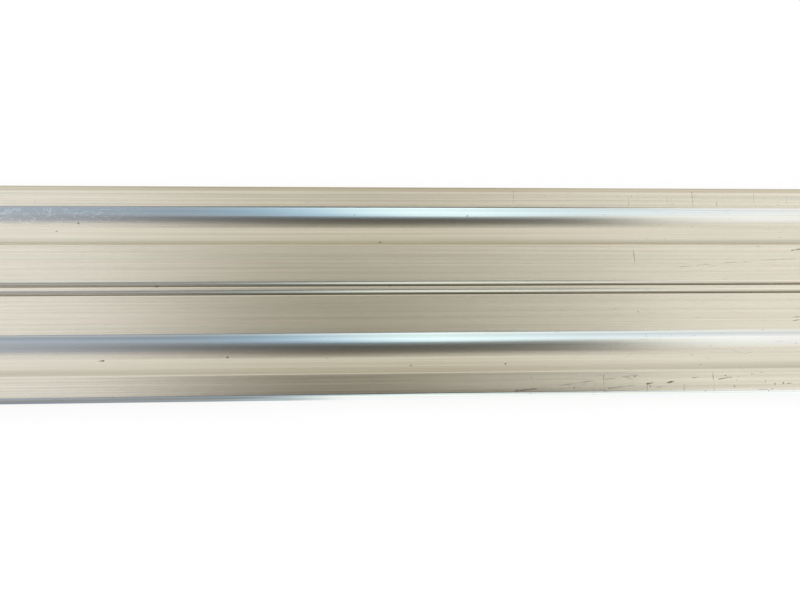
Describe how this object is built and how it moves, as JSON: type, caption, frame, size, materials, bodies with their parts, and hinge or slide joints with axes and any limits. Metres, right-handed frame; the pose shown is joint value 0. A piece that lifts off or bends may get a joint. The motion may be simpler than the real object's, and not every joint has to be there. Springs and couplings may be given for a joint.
{
  "type": "lashing rail",
  "caption": "Straight extruded aluminium rail with round-bottomed fixing grooves, scribed centre lines and free lips along both edges that strap hooks are laid behind.",
  "frame": {"origin": "middle of the rail's length and width, on the plane that its two foot pads stand on", "axes": "+X along the rail, +Y across its width, +Z out of its front face"},
  "size_m": [1, 0.1, 0.01],
  "materials": {
    "aluminium": "satin mill finish with fine die lines and light scratches"
  },
  "bodies": {
    "root": {"lashing_rail": "aluminium"}
  },
  "joints": []
}
